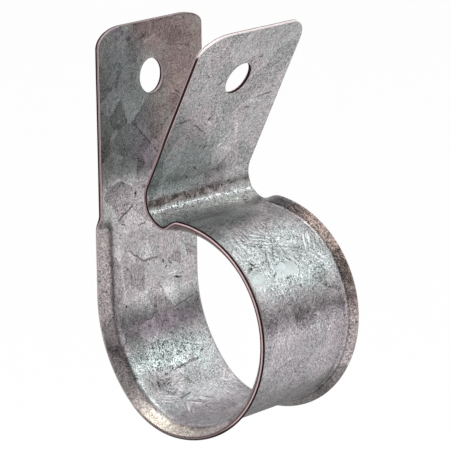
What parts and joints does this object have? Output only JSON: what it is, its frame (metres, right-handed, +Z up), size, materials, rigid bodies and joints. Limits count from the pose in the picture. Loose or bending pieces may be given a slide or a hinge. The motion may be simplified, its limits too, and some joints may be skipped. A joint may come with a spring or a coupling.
{
  "type": "conduit strap",
  "caption": "Folded sheet-metal strap: a round loop with flared lips holds a conduit, and two flat tabs with matching screw holes close it.",
  "frame": {"origin": "centre of the round loop, on the conduit's axis, half way across the strap", "axes": "+Y along the conduit, +Z up towards the screw holes, +X away from the wall"},
  "size_m": [0.0456, 0.0336, 0.0862],
  "materials": {
    "galvanised_sheet": "spangled zinc coating, half dull, with scratches and brown stains on the lips"
  },
  "bodies": {
    "root": {"strap": "galvanised_sheet"}
  },
  "joints": []
}
